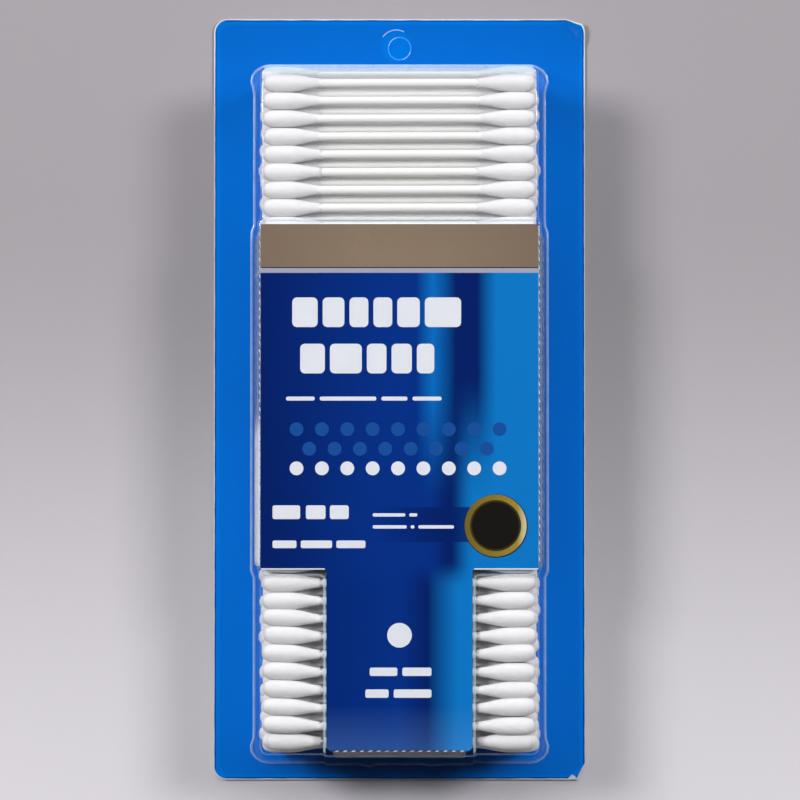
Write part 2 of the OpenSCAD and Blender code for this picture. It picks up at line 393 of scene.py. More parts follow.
def makeCard():
    outline = edgePoints(cardOutline(), card["spacing"])
    rim = bareRim(outline)
    rings = [disc(*hang["middle"], hang["radius"] + k * hang["lip"], 48) for k in (-2, -1, 0, 1, 2)]
    extra = cornerGrid(card["half"], card["end"], 1.2, rim)
    flat, triangles = fillBetween(outline, (), [rim, *rings, card["chip"]], extra)
    count = len(flat)
    points = [(x, y, cardFront(x, y)) for x, y in flat]
    points += [(x, y, cornerLift(x, y)) for x, y in flat]
    faces, kinds, used = [], [], set()
    for face in triangles:
        faces += [face, tuple(i + count for i in reversed(face))]
        kinds += [cardFace(*faceMiddle(flat, face), rim), 2]
        used.update(zip(face, face[1:] + face[:1]))
    for a, b in sorted(used):
        if (b, a) not in used:
            faces.append((b, a, a + count, b + count))
            kinds.append(1)
    # the last of these is a painted glint on the die cut
    papers = (("cardEdge", card["core"]), ("cardBack", card["back"]),
              ("wornPrint", hang["worn"]), ("paintedGlintPrint", hang["paintedGlint"]))
    materials = [cardMaterial()] + [paperMaterial(*paper) for paper in papers]
    piece = makePiece("printedCard", points, faces, materials, kinds, flat=True)
    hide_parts("backing_card")


makeCard()
print("card made")


# Clear film

film = {
    "thick": 0.35, "flangeTop": 0.95, "tubTop": 34.945, "pocketTop": 35.594,
    "tubHalf": 38.47, "low": -99.525, "high": 91.15, "corner": 2.0,
    "pocketHalf": 39.2025, "pocketLow": -50.065, "pocketHigh": 48.435,
    "channelHalf": 20.7325, "channelOut": 0.5, "channelFade": 5.0,
    "sideDraft": 4.0, "endDraft": 4.5, "edgeRound": 0.9, "footRoll": 0.45,
    "innerCorner": 1.4, "jog": 1.9, "lap": 3.0, "stepSoft": (-0.35, 0.45),
    "flangeHalf": 50.525, "flangeEnd": 105.3, "flangeCorner": 3.0, "flangeSpacing": 2.0,
    "hole": 4.4, "holeShift": (-0.9, 0.7), "holeLip": 0.3,
    "lipMilkAndHighlight": (60, 145),   # the arc of the hole's lip that is milky with a painted highlight, in degrees
    "ripples": (-8.3, 9.7), "rippleOut": 0.9, "rippleHalf": 1.6,
    "waviness": 0.07, "footCorner": 1.0, "footReach": 4.0, "footZone": 6.0,
    "spacings": (0.16, 0.35, 2.2),   # of the front's grid: at a step, near it and elsewhere
    "still": 30.0,   # the grid's columns are straight up to here
    "cornerTurns": (0, 22, 45, 68), "edgeTurns": (15, 30, 45, 60, 74, 86), "footTurns": (18, 36, 54, 72, 90),
    "wallShares": (0.04, 0.12, 0.22, 0.34, 0.46, 0.58, 0.7, 0.82, 0.92, 1.0),
    "tint": (0.985, 0.992, 1.0, 1.0), "haze": (0.95, 0.97, 1.0, 1.0), "shine": 0.035, "edgeShine": 0.17,
    # milk: the whitening of bent film, which here also stands in as a painted highlight on the edges, steps
    # and the hole's lip
    "milkAndHighlight": (0.68, 0.87, 1.0, 1.0), "bendMilkAndHighlight": (0.22, 0.5), "stepMilkAndHighlight": (0.2, 0.42),
    "endMilkAndHighlight": (0.4, 0.75), "milkAndHighlightFrom": 89.1,   # the upper end's edge, along Y, milky with a painted highlight
    "milkAndHighlightTurns": {"edge": 62, "foot": 30},   # past these degrees the edge and the foot are milky, partly a painted highlight
}


def filmMaterial(name, milkAndHighlight=None):
    # clear film. Where it is bent it is a little milky, partly the film's own whitening and partly a painted
    # highlight along its edges
    material = newMaterial(name)
    waves = noise(material, 45.0, 2.0)
    fine = noise(material, 700.0, 3.0)
    relief = bump(material, fine, 0.01, 0.2, bump(material, waves, 0.3, 0.3))
    facing = add(material, "LayerWeight", {"Blend": 0.5, "Normal": relief}, "Facing")
    edgeOn = calc(material, "POWER", facing, 3.0)
    gloss = add(material, "BsdfGlossy", {
        "Color": (1, 1, 1, 1), "Roughness": between(material, fine, 0.06, 0.12), "Normal": relief})
    clear = add(material, "BsdfTransparent", {
        "Color": mixColour(material, edgeOn, film["tint"], film["haze"])})
    # a milky share: the film's own whitening, which also serves as a painted highlight
    if milkAndHighlight:
        cloud = add(material, "BsdfTranslucent", {"Color": film["milkAndHighlight"]})
        front = add(material, "BsdfDiffuse", {"Color": film["milkAndHighlight"]})
        both = add(material, "MixShader", {0: 0.35, 1: front, 2: cloud})
        share = between(material, noise(material, 260.0, 3.0), *milkAndHighlight)
        clear = add(material, "MixShader", {0: share, 1: clear, 2: both})
    share = between(material, edgeOn, film["shine"], film["edgeShine"])
    shader = add(material, "MixShader", {0: share, 1: clear, 2: gloss})
    return finishMaterial(material, shader)


def pocketShare(x, y):
    # 1 on the raised T of the film, 0 on the lower tub, with a round inner corner at the T's arms
    wide = max(film["pocketLow"] - y, y - film["pocketHigh"])
    tongue = max(abs(x) - film["channelHalf"], y - film["pocketLow"] - film["lap"])
    r = film["innerCorner"]
    away = max(r, min(wide, tongue)) - hypot(max(r - wide, 0), max(r - tongue, 0))
    return 1 - smooth(*film["stepSoft"], away)


def sideBulge(y):
    # how much wider the pocket is than the tub
    jog = film["jog"]
    share = smooth(film["pocketLow"] - 0.5, film["pocketLow"] + jog, y)
    share *= 1 - smooth(film["pocketHigh"] - jog, film["pocketHigh"] + 0.5, y)
    return (film["pocketHalf"] - film["tubHalf"]) * share


def endBulge(x):
    # how far the tongue's channel stands out at the lower end
    return film["channelOut"] * (1 - smooth(film["channelHalf"] - 0.6, film["channelHalf"] + 0.5, abs(x)))


def stations(low, high, dense):
    # places from low to high, closer together around the dense ones
    fine, middling, coarse = film["spacings"]
    close, nearby, least, tiny = 0.8, 2.2, 0.1, 1e-6
    found = [low]
    while found[-1] < high - tiny:
        here = found[-1]
        near = min(abs(here + least - d) for d in dense)
        step = fine if near < close else middling if near < nearby else coarse
        ahead = [d - close for d in dense if d - close > here + tiny]
        if ahead and here + step > min(ahead) and near >= close:
            step = max(least, min(ahead) - here)
        found.append(min(high, here + step))
    if high - found[-2] < least / 2:
        found.pop(-2)
    return found


def wallWave(x, y, down):
    # slow waves in the wall that follow no pattern, none at its edges
    wave = film["waviness"] * sin(pi * down)
    return abs(wave * sin(0.11 * y + 2.3 * down) * cos(0.19 * x + 0.07 * y + 4 * down))


def filmFront():
    # the front face's grid, and the points of its outline with the way that each one faces
    e = film["edgeRound"]
    half, low, high = film["tubHalf"] - e, film["low"] + e, film["high"] - e
    r, still = film["corner"] - e, film["still"]
    rows = [low + r * (1 - cos(radians(a))) for a in film["cornerTurns"]]
    rows += stations(low + r, high - r, (film["pocketLow"], film["pocketHigh"]))
    rows += [high - r * (1 - cos(radians(a))) for a in reversed(film["cornerTurns"])]
    across = stations(0.0, half, (film["channelHalf"],))
    across = [-x for x in reversed(across[1:])] + across
    columns, lines = len(across), len(rows)

    def intoCorner(y):
        # how far y lies in a round corner: 0 before it, and -1 or 1 at the two ends
        return (y - low - r) / r if y < low + r else (y - high + r) / r if y > high - r else 0.0

    points = []
    for y in rows:
        width = half - r + sqrt(max(0, r * r - (r * intoCorner(y)) ** 2)) + sideBulge(y)
        for x in across:
            if abs(x) > still:
                x = copysign(still + (abs(x) - still) * (width - still) / (half - still), x)
            pull = endBulge(x) * (1 - smooth(low, low + film["channelFade"], y))
            z = film["tubTop"] + (film["pocketTop"] - film["tubTop"]) * pocketShare(x, y)
            points.append((x, y - pull, z))
    faces, kinds = [], []
    for j in range(lines - 1):
        for i in range(columns - 1):
            a = j * columns + i
            faces.append((a, a + 1, a + columns + 1, a + columns))
            x, y, _ = points[a]
            share = pocketShare(x + 0.08, y + 0.08)
            # the step and the upper end take milky film that carries a painted highlight
            kinds.append(3 if y > film["milkAndHighlightFrom"] else 2 if 0.03 < share < 0.97 else 0)
    ring = list(range(columns))
    ring += [j * columns + columns - 1 for j in range(1, lines)]
    ring += [(lines - 1) * columns + i for i in range(columns - 2, -1, -1)]
    ring += [j * columns for j in range(lines - 2, 0, -1)]
    normals = []
    for index in ring:
        j, i = divmod(index, columns)
        side = 1.0 if i == columns - 1 else -1.0 if i == 0 else 0.0
        if j in (0, lines - 1):
            normals.append((0.0, 1.0 if j else -1.0))
        else:
            part = intoCorner(rows[j])
            normals.append((side * sqrt(max(0, 1 - part * part)), part))
    return points, faces, kinds, ring, normals


def filmWall(points, faces, kinds, ring, normals):
    # goes from the front's outline over the edge, down the wall and out into the flange
    e, roll, foot = film["edgeRound"], film["footRoll"], film["flangeTop"] + film["footRoll"]
    half, low, high = film["tubHalf"] - e, film["low"] + e, film["high"] - e
    base = [points[i] for i in ring]
    slopes = [tan(radians(film[k])) for k in ("sideDraft", "endDraft")]
    wallTop = radians(film["edgeTurns"][-1])
    profile = [("edge", radians(a)) for a in film["edgeTurns"]]
    profile += [("wall", share) for share in film["wallShares"]]
    profile += [("foot", radians(a)) for a in film["footTurns"]]
    previous, count = ring, len(ring)
    for kind, t in profile:
        current = []
        for (x, y, z), (nx, ny) in zip(base, normals):
            edgeOut, edgeZ = e * sin(wallTop), z - e * (1 - cos(wallTop))
            fall = edgeZ - foot
            if kind == "edge":
                outX = outY = e * sin(t)
                height = z - e * (1 - cos(t))
            elif kind == "wall":
                outX, outY = (edgeOut + fall * t * slope - wallWave(x, y, t) for slope in slopes)
                height = edgeZ - fall * t
            else:
                outX, outY = (edgeOut + fall * slope + roll * (1 - cos(t)) for slope in slopes)
                height = film["flangeTop"] + roll * (1 - sin(t))
            nearFoot = 1 - smooth(0, film["footZone"], height - film["flangeTop"])
            if ny < -0.9 and kind != "edge":
                # two small creases where the film was pressed against the card's lower end
                for middle in film["ripples"]:
                    outY += film["rippleOut"] * nearFoot * max(0, 1 - abs(x - middle) / film["rippleHalf"])
            # the foot spreads at the corners
            toCorner = hypot(half - abs(x), min(y - low, high - y))
            outX += film["footCorner"] * nearFoot * (1 - smooth(0, film["footReach"], toCorner))
            current.append(len(points))
            points.append((x + nx * outX, y + ny * outY, height))
        # the bent edge and foot take milky film with a painted highlight, and so does the front's upper edge
        bent = kind != "wall" and t > radians(film["milkAndHighlightTurns"][kind])
        for k in range(count):
            n = (k + 1) % count
            faces.append((previous[k], current[k], current[n], previous[n]))
            kinds.append(1 if bent else 2 if kind == "edge" and normals[k][1] > 0.9 else 0)
        previous = current
    return previous


def filmFlange(points, faces, kinds, footRing):
    # the flange, with its hole over the hang hole
    inner = [points[i][:2] for i in footRing]
    hx, hy = (hang["middle"][k] + film["holeShift"][k] for k in (0, 1))
    lipEnd = film["hole"] + film["holeLip"]
    half, end = film["flangeHalf"], film["flangeEnd"]
    outer = edgePoints(roundedLoop(-half, -end, half, end, film["flangeCorner"], 8), film["flangeSpacing"])
    flat, triangles = fillBetween(outer, [inner, disc(hx, hy, film["hole"], 64)], [disc(hx, hy, lipEnd, 64)],
                                  cornerGrid(half, end, 0.8, outer))
    lookup = {known(x, y): i for i, (x, y) in zip(footRing, inner)}
    indices = []
    for x, y in flat:
        if known(x, y) not in lookup:
            lookup[known(x, y)] = len(points)
            points.append((x, y, film["flangeTop"] + cornerLift(x, y)))
        indices.append(lookup[known(x, y)])
    # an arc of the hole's lip is milky with a painted highlight
    start, stop = film["lipMilkAndHighlight"]
    for face in triangles:
        faces.append(tuple(indices[i] for i in face))
        cx, cy = faceMiddle(flat, face)
        onLip = hypot(cx - hx, cy - hy) < lipEnd
        kinds.append(1 if onLip and start < degrees(atan2(cy - hy, cx - hx)) < stop else 0)


def makeFilm():
    points, faces, kinds, ring, normals = filmFront()
    footRing = filmWall(points, faces, kinds, ring, normals)
    curved = len(faces)
    filmFlange(points, faces, kinds, footRing)
    materials = [filmMaterial("clearFilm"), filmMaterial("bentFilmWithHighlight", film["bendMilkAndHighlight"]),
                 filmMaterial("stepFilmWithHighlight", film["stepMilkAndHighlight"]), filmMaterial("endFilmWithHighlight", film["endMilkAndHighlight"])]
    piece = makePiece("clearBlister", points, faces, materials, kinds)
    thicken(piece, film["thick"], [i < curved for i in range(len(faces))])
    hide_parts("blister")


makeFilm()
print("film made")


# Label

label = {
    "half": 38.62, "low": -98.515, "wideLow": -48.515, "high": 46.885, "top": 35.0946,
    "board": 0.5, "tongueHalf": 20.15, "corner": 1.65, "highCorner": 1.2, "lowCorner": 0.5, "foldRound": 0.45,
    "innerCorner": 0.5, "gap": 0.06,   # where the tongue starts, and between a fold and a corner
    "sideFlap": 31.4, "endFlap": 31.4, "sideDraft": 4.0, "endDraft": 4.5, "taper": 1.3, "endTaper": 0.02,
    "foldSteps": 60, "endSteps": 24,   # points along the side folds and along the end's fold
    "navy": (2, 30, 100), "ocean": (2, 48, 134), "beam": (8, 112, 194), "sky": (12, 124, 200),
    # pale is the colour of a painted reflection on the tongue's end
    "mottle": (8, 46, 112), "pale": (110, 165, 225), "rightFlap": (40, 46, 62),
    "specks": (190, 194, 198), "rubbed": (250, 249, 250),
    "bronze": (150, 129, 102), "rule": (170, 172, 188), "line": (58, 50, 44),
    "core": (236, 238, 242), "inside": (205, 203, 198),
    "bare": (196, 192, 184), "bareFrom": 0.06,   # the end flap's board, from just past the fold
    "bandLow": 35.0, "ruleHigh": 34.7, "ruleLow": 33.4,
    "upperFade": (-32.0, 6.0), "tongueFade": (-46.0, -54.0), "paintedReflectionFade": (-86.0, -98.0),   # along Y; the last one is a painted reflection towards the tongue's end
    "strip": (-40.9, -31.3), "stripEnd": 20.0,   # a darker strip of the field, beside the seal
    "stripFade": (-8.0, 8.0),   # where it starts, along X
    "cutShow": 0.34, "cutHalf": 8.8,   # the white cut edge: its width, and half its length
    "foldShow": 0.3, "flapFrom": 0.12,   # how far in the speckled fold and the flap start
    "scuffed": (-47.5, -8.0), "scuffFade": 5.0,   # where the left flap is rubbed white, along Y
    "perforation": (1.1, 0.26), "pitch": 2.3, "perforationInset": 0.02,
    "sideSlits": 40, "endSlits": 16, "slitTurn": 12.0,
    # the field's colours from its left edge, at 0, to its right one, at 1
    "upper": {0.0: "navy", 0.45: "ocean", 0.56: "ocean", 0.62: "beam", 0.70: "navy",
              0.78: "navy", 0.845: "sky", 1.0: "sky"},
    "lower": {0.0: "navy", 0.45: "ocean", 0.60: "ocean", 0.68: "navy", 0.77: "sky", 1.0: "sky"},
    "tongue": {0.0: "navy", 0.5: "ocean", 0.60: "navy", 0.71: "sky", 1.0: "sky"},
}


def fieldColour(material, x, y, across):
    # the blue field runs from its upper part into the lower one and on to the tongue
    upper, lower, onTongue = (
        ramp(material, across, [(place, paint(*label[shade])) for place, shade in label[part].items()])
        for part in ("upper", "lower", "tongue"))
    lower.node.color_ramp.interpolation = "EASE"
    lower = mixColour(material, rise(material, y, *label["tongueFade"]), lower, onTongue)
    low, high = label["strip"]
    inStrip = times(material, rise(material, x, *label["stripFade"], 0.85, "LINEAR"),
                    under(material, x, label["stripEnd"]), over(material, y, low), under(material, y, high))
    lower = mixColour(material, inStrip, lower, paint(*label["navy"]))
    return mixColour(material, rise(material, y, *label["upperFade"]), lower, upper)


def bandColour(material, across):
    # the bronze band is darker towards its ends
    streaks = noise(material, 60.0, 1.0, 0.5, (0.2, 1, 1))
    bronze = mottled(material, streaks, label["bronze"], 0.86)
    ends = ramp(material, across, ((0.0, 0.3), (0.35, 0.0), (0.65, 0.0), (1.0, 0.3)))
    return mixColour(material, ends, bronze, darker(label["bronze"], 0.4))


def labelMaterial():
    material = newMaterial("printedLabel")
    x, y, _ = split(material)
    across = calc(material, "MULTIPLY_ADD", x, 1 / (2 * label["half"] * mm), 0.5)
    printed = fieldColour(material, x, y, across)
    for start, colour in (("ruleLow", paint(*label["rule"])), ("ruleHigh", paint(*label["line"])),
                          ("bandLow", bandColour(material, across))):
        printed = mixColour(material, over(material, y, label[start]), printed, colour)
    # fine halftone mottling
    grain = noise(material, 1500.0, 4.0, 0.7)
    printed = mixColour(material, times(material, grain, 0.2), printed, paint(*label["mottle"]))
    # a part of the left flap is rubbed white
    rub = noise(material, 900.0, 5.0, 0.75, (1, 0.7, 0.3))
    low, high = label["scuffed"]
    white = ramp(material, rub, ((0.0, 0.6), (0.40, 0.75), (0.48, 1.0), (1.0, 1.0)))
    fade = label["scuffFade"]
    rubbed = times(material, under(material, x, label["flapFrom"] - label["half"]),
                   rise(material, y, high + fade, high - fade), over(material, y, low), white)
    # the other flap and both folds are only speckled
    specks = ramp(material, rub, ((0.0, 0.2), (0.42, 0.3), (0.56, 0.9), (1.0, 1.0)))
    onRight = over(material, x, label["half"] - label["flapFrom"])
    onFold = over(material, calc(material, "ABSOLUTE", x), label["half"] - label["foldShow"])
    speckled = times(material, calc(material, "MAXIMUM", onFold, onRight), specks, 0.75)
    # the tongue is paler towards its end, a painted reflection, and the end flap is bare board
    paintedReflection = rise(material, y, *label["paintedReflectionFade"], 0.16, "LINEAR")
    bare = mottled(material, rub, label["bare"], 0.8)
    for share, key in ((paintedReflection, "pale"), (times(material, onRight, 0.85), "rightFlap"),
                       (speckled, "specks"), (rubbed, "rubbed")):
        printed = mixColour(material, share, printed, paint(*label[key]))
    onEndFlap = under(material, y, label["low"] - label["bareFrom"])
    base = mixColour(material, onEndFlap, printed, bare)
    rough = calc(material, "MULTIPLY_ADD", rubbed, 0.65, between(material, grain, 0.16, 0.26))
    return finishSurface(material, base, rough, 0.08, bump(material, grain, 0.02, 0.3))


def spread(a, b, count):
    return [a + (b - a) * i / count for i in range(count + 1)]


def foldFlap(points, faces, ring, outward, draft, depth, taper):
    # bends an edge of the front over the fold and on down the flap
    fold, slope = label["foldRound"], radians(draft)
    turns = [radians(a) for a in (22, 45, 68, 90 - draft)]
    levels = [(fold * sin(t), fold * (1 - cos(t))) for t in turns]
    foldOut, foldDown = levels[-1]
    for share in (0.03, 0.1, 0.25, 0.5, 0.75, 1.0):
        run = (depth - fold) * share
        levels.append((foldOut + run * sin(slope), foldDown + run * cos(slope)))
    edge = [points[i][:2] for i in ring]
    along = 1 if outward[0] else 0
    middle = (edge[0][along] + edge[-1][along]) / 2
    for out, down in levels:
        narrow = 1 - taper * max(0, down - fold) / depth
        current = []
        for place in edge:
            place = list(place)
            place[along] = middle + (place[along] - middle) * narrow
            place[1 - along] += outward[1 - along] * out
            current.append(len(points))
            points.append((*place, label["top"] - down))
        for k in range(len(ring) - 1):
            faces.append((ring[k], current[k], current[k + 1], ring[k + 1]))
        ring = current


def makeLabel():
    half, tongue, fold, gap = label["half"], label["tongueHalf"], label["foldRound"], label["gap"]
    low, wideLow, high = label["low"], label["wideLow"], label["high"]
    corner, inner = label["corner"], label["innerCorner"]
    lowCorner, highCorner = label["lowCorner"], label["highCorner"]
    flatHalf = tongue - corner - gap
    ends = [(x, low + fold) for x in spread(-flatHalf, flatHalf, label["endSteps"])]
    sideLow, sideHigh = wideLow + lowCorner, high - highCorner
    rights = [(half - fold, y) for y in spread(sideLow + gap, sideHigh - gap, label["foldSteps"])]
    lefts = [(-x, y) for x, y in reversed(rights)]
    outline = arc(-tongue + corner, low + corner, corner, 180, 270) + ends
    outline += arc(tongue - corner, low + corner, corner, 270, 360)
    outline += arc(tongue + inner, wideLow - inner, inner, 180, 90, 4)
    outline += arc(half - lowCorner, wideLow + lowCorner, lowCorner, 270, 360) + rights
    outline += arc(half - highCorner, high - highCorner, highCorner, 0, 90)
    outline += arc(-half + highCorner, high - highCorner, highCorner, 90, 180) + lefts
    outline += arc(-half + lowCorner, wideLow + lowCorner, lowCorner, 180, 270)
    outline += arc(-tongue - inner, wideLow - inner, inner, 90, 0, 4)
    # the cut shows white along the lower edge of the wide part
    long, wide = label["cutHalf"], label["cutShow"]
    bareEdges = [roundedLoop(x - long, wideLow + 0.01, x + long, wideLow + wide, 0.1, 5)
                 for x in (-(tongue + half) / 2, (tongue + half) / 2)]
    flat, triangles = fillBetween(outline, (), bareEdges)
    points, faces = [(x, y, label["top"]) for x, y in flat], list(triangles)
    kinds = [2 if any(insideLoop(loop, *faceMiddle(flat, face)) for loop in bareEdges) else 0
             for face in triangles]
    lookup = {known(x, y): i for i, (x, y) in enumerate(flat)}
    sideTaper = 2 * label["taper"] / (sideHigh - sideLow)
    for edge, outward, part, taper in (
            (rights, (1, 0), "side", sideTaper), (lefts, (-1, 0), "side", sideTaper),
            (ends, (0, -1), "end", label["endTaper"])):
        foldFlap(points, faces, [lookup[known(x, y)] for x, y in edge], outward,
                 label[part + "Draft"], label[part + "Flap"], taper)
    kinds += [0] * (len(faces) - len(kinds))
    materials = [labelMaterial(), paperMaterial("labelInside", label["inside"]),
                 paperMaterial("labelCutEdge", label["core"])]
    piece = makePiece("labelBoard", points, faces, materials, kinds)
    solid = thicken(piece, label["board"], [i >= len(triangles) for i in range(len(faces))])
    solid.material_offset = 1
    solid.material_offset_rim = 2
    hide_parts("label_insert")


makeLabel()


# Print on the label: plain bars, dots and a blank seal

inks = {
    "white": (233, 235, 240), "mid": (17, 80, 158), "gold": (166, 142, 52), "goldGleam": (214, 204, 160),
    "darkGold": (74, 62, 24), "black": (20, 16, 12), "shadow": (8, 20, 50), "fibres": (214, 220, 230),
    "raise": 0.012, "thick": 0.02,
    "dotPitch": 7.0, "dot": 1.9, "roundY": -66.6, "round": 3.4,
    "seal": (26.5, -36.4), "sealRim": 8.55, "sealInnerRim": 7.05, "sealFace": 6.5,
    "sealShadow": 8.75, "shadowShift": 0.1, "shadowDrop": 0.004,
    "sealStep": 0.006,   # each part of the seal lies this much higher
    # rows of bars: lower and upper edge, corner, and where each bar starts and ends
    "headline": (
        (18.4, 26.6, 1.3, ((-29.6, -22.6), (-21.2, -15.2), (-13.8, -8.6),
                           (-7.2, -2.0), (-0.6, 5.6), (7.0, 17.0))),
        (5.6, 13.8, 1.3, ((-27.4, -20.6), (-19.2, -10.4), (-9.0, -3.6), (-2.2, 3.4), (4.8, 9.6)))),
    "text": (
        (-1.9, -0.8, 0.5, ((-31.3, -23.4), (-22.0, -6.4), (-5.0, 2.2), (3.6, 11.6))),
        (-34.6, -30.8, 0.6, ((-35.0, -27.4), (-25.8, -20.4), (-19.2, -14.0))),
        (-42.6, -40.5, 0.5, ((-35.0, -28.4), (-27.2, -18.6), (-17.4, -9.4))),
        (-33.9, -33.0, 0.4, ((-7.4, 1.6), (2.7, 4.9))),
        (-37.2, -36.3, 0.4, ((-7.4, 2.0), (3.1, 4.1), (5.2, 15.0))),
        (-77.8, -75.5, 0.5, ((-8.2, -0.6), (0.8, 8.8))),
        (-83.8, -81.5, 0.5, ((-9.4, -3.0), (-1.6, 8.8)))),
    # rows of dots: the first one's middle, and how many there are
    "whiteDots": ((-28.4, -20.6, 9),),
    "blueDots": ((-24.9, -15.2, 8), (-28.4, -9.8, 9)),
}


def inkMaterial(name, shade, rough=0.3, metallic=0.0):
    material = newMaterial(name)
    grain = noise(material, 1800.0, 4.0, 0.7)
    wide = noise(material, 120.0, 2.0)
    both = times(material, calc(material, "ADD", grain, wide), 0.5)
    return finishSurface(material, mottled(material, both, shade, 0.86),
                         between(material, grain, rough, rough + 0.12), 0.2,
                         bump(material, grain, 0.03, 0.4), {"Metallic": metallic})


def sealMaterial():
    # gold that is darker on the left
    material = newMaterial("goldInk")
    x = split(material)[0]
    middle, radius = inks["seal"][0], inks["sealRim"]
    across = calc(material, "MULTIPLY_ADD", x, 0.5 / (radius * mm), 0.5 - 0.5 * middle / radius)
    grain = noise(material, 900.0, 4.0, 0.7, (1, 0.2, 1))
    gold = ramp(material, across, ((0.0, darker(inks["gold"], 0.45)), (0.5, darker(inks["gold"], 0.7)),
                                   (0.85, paint(*inks["gold"])), (0.97, paint(*inks["goldGleam"]))))
    gold = mixColour(material, times(material, grain, 0.3), gold, darker(inks["gold"], 0.4))
    return finishSurface(material, gold, between(material, grain, 0.3, 0.45), 0.2,
                         bump(material, grain, 0.03, 0.4))


def thinPrint(name, loops, material, lift=0.0):
    # flat closed slips of ink, each from its outline
    level = label["top"] + inks["raise"] + lift
    points, faces = [], []
    for loop in loops:
        start, count = len(points), len(loop)
        points += [(x, y, level) for x, y in loop]
        points += [(x, y, level - inks["thick"]) for x, y in loop]
        faces.append(tuple(range(start, start + count)))
        faces.append(tuple(reversed(range(start + count, start + 2 * count))))
        for i in range(count):
            n = (i + 1) % count
            faces.append((start + n, start + i, start + count + i, start + count + n))
    makePiece(name, points, faces, [material], flat=True)


def barRows(rows):
    return [roundedLoop(x0, low, x1, high, corner, 5)
            for low, high, corner, spans in rows for x0, x1 in spans]


def dotRows(rows):
    return [disc(x + inks["dotPitch"] * i, y, inks["dot"]) for x, y, count in rows for i in range(count)]


def makeSeal():
    x, y = inks["seal"]
    step, aside = inks["sealStep"], inks["shadowShift"]
    for name, shift, sides, material, lift in (
            ("sealShadow", aside, 72, inkMaterial("shadowInk", inks["shadow"]), -inks["shadowDrop"]),
            ("sealRim", 0.0, 72, sealMaterial(), 0.0),
            ("sealFace", 0.0, 64, inkMaterial("blackInk", inks["black"]), 2 * step),
            ("sealInnerRim", 0.0, 64, inkMaterial("darkGoldInk", inks["darkGold"], 0.35, 0.5), step)):
        thinPrint(name, [disc(x + shift, y - shift, inks[name], sides)], material, lift)


def makeFibres():
    # torn white fibres where the folds are perforated
    rng = random.Random(9)
    length, width = label["perforation"]
    turn = radians(label["slitTurn"])

    def slit(x, y, alongX):
        far, wide = length * rng.uniform(0.8, 1.1) / 2, width * rng.uniform(0.75, 1.2) / 2
        corners = []
        for u, v in ((-far, -wide * 0.7), (far * 0.9, -wide), (far, wide * 0.8), (-far * 0.85, wide)):
            cu, cv = u * cos(turn) - v * sin(turn), u * sin(turn) + v * cos(turn)
            corners.append((x + cu, y + cv) if alongX else (x - cv, y + cu))
        return corners

    def slitPlaces(count):
        return [(i - (count - 1) / 2) * label["pitch"] for i in range(count)]

    inset, sideMiddle = label["perforationInset"], (label["wideLow"] + label["high"]) / 2
    slits = [slit(side * (label["half"] - inset), sideMiddle + place, False)
             for place in slitPlaces(label["sideSlits"]) for side in (-1, 1)]
    slits += [slit(place, label["low"] + inset, True) for place in slitPlaces(label["endSlits"])]
    thinPrint("perforationFibres", slits, inkMaterial("tornPaper", inks["fibres"], 0.8))


def makePrint():
    white, mid = inkMaterial("whiteInk", inks["white"]), inkMaterial("midBlueInk", inks["mid"])
    thinPrint("headlineBars", barRows(inks["headline"]), white)
    thinPrint("textBars", barRows(inks["text"]), white)
    thinPrint("whiteDots", dotRows(inks["whiteDots"]), white)
    thinPrint("blueDots", dotRows(inks["blueDots"]), mid)
    thinPrint("tongueRound", [disc(0.0, inks["roundY"], inks["round"])], white)
    makeSeal()
    makeFibres()


makePrint()
print("label made")


# Sticks and cotton

stick = {"shade": (249, 248, 245), "rough": 0.3}
cotton = {
    "shade": (240, 237, 237), "shadow": (227, 225, 226),
    "rows": (38, 37),   # swabs in the odd layers and in the even ones
    "rings": 20, "sides": 18, "lump": 0.06, "squeeze": 1.085, "length": 16.5, "nose": 3.4, "belly": 3.6,
    "radius": 2.38, "noseFlat": 0.7, "tail": 1.22, "foot": 1.16,
    "waves": ((1, 2, 0.22), (1, 3, -0.35), (1, 1, 0.5), (0.6, 5, 0.9)),   # height, count, twist of the lumps
    "crowding": 1.25,   # above 1, the rings lie closer at the nose
    "film": 0.15,   # the least gap to the film
    "reach": (1.5, 0.6),   # how far from the nose and from the tail a tip's own points are looked at
}


def stickMaterial():
    material = newMaterial("whitePlastic")
    drawn = noise(material, 1600.0, 3.0, 0.5, (0.03, 1, 1))
    wide = noise(material, 30.0, 2.0)
    base = mottled(material, wide, stick["shade"], 0.95)
    rough = between(material, drawn, stick["rough"] - 0.06, stick["rough"] + 0.06)
    return finishSurface(material, base, rough, 0.5, bump(material, drawn, 0.02, 0.3))


def cottonMaterial():
    material = newMaterial("cottonWool")
    wisps = noise(material, 1500.0, 6.0, 0.72, (1, 0.55, 1))
    clumps = noise(material, 420.0, 3.0, 0.6)
    base = mixColour(material, clumps, paint(*cotton["shadow"]), paint(*cotton["shade"]))
    relief = bump(material, wisps, 0.12, 0.4, bump(material, clumps, 0.5, 0.35))
    return finishSurface(material, base, between(material, wisps, 0.8, 0.95), 0.1, relief,
                         {"Sheen Weight": 0.25, "Sheen Roughness": 0.6})


def tipRadius(s):
    # radius at s millimetres from the nose
    nose, belly, length = cotton["nose"], cotton["belly"], cotton["length"]
    big, flat, tail = cotton["radius"], cotton["noseFlat"], cotton["tail"]
    if s < nose:
        t = 1 - s / nose
        return flat + (big - flat) * sqrt(max(0, 1 - t * t))
    if s < nose + belly:
        return big
    t = (s - nose - belly) / (length - nose - belly)
    return tail + (big - tail) * (1 + cos(pi * t)) / 2


